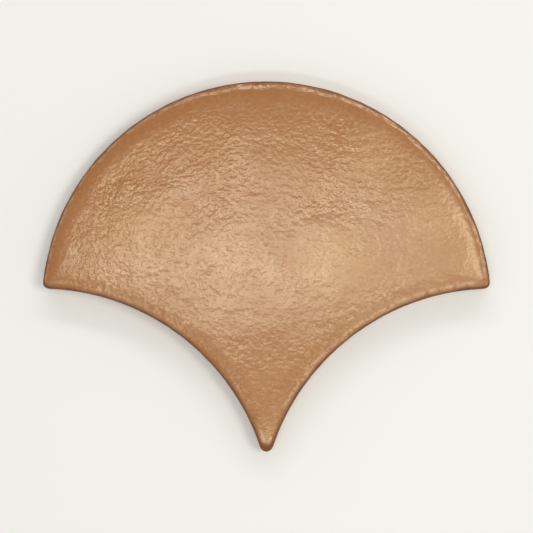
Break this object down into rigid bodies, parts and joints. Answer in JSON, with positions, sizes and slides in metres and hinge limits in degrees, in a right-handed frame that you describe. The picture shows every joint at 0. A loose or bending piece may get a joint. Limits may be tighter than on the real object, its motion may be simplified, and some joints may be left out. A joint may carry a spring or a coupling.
{
  "type": "fish scale tile",
  "caption": "Bronze-glazed ceramic fish scale wall tile with a round crown, hollow flanks that nest neighbouring tiles, a narrow tip and a softly cushioned wrinkled face.",
  "frame": {"origin": "middle of the tile's bounding rectangle, on the plane of its back", "axes": "+Z out of the glazed face, +Y from the tip towards the top of the crown, +X to the right seen from the front"},
  "size_m": [0.127, 0.1052, 0.0095],
  "materials": {
    "bronze_glaze": "satin metallic glaze with fine wrinkles"
  },
  "bodies": {
    "root": {"fish_scale_tile": "bronze_glaze"}
  },
  "joints": []
}
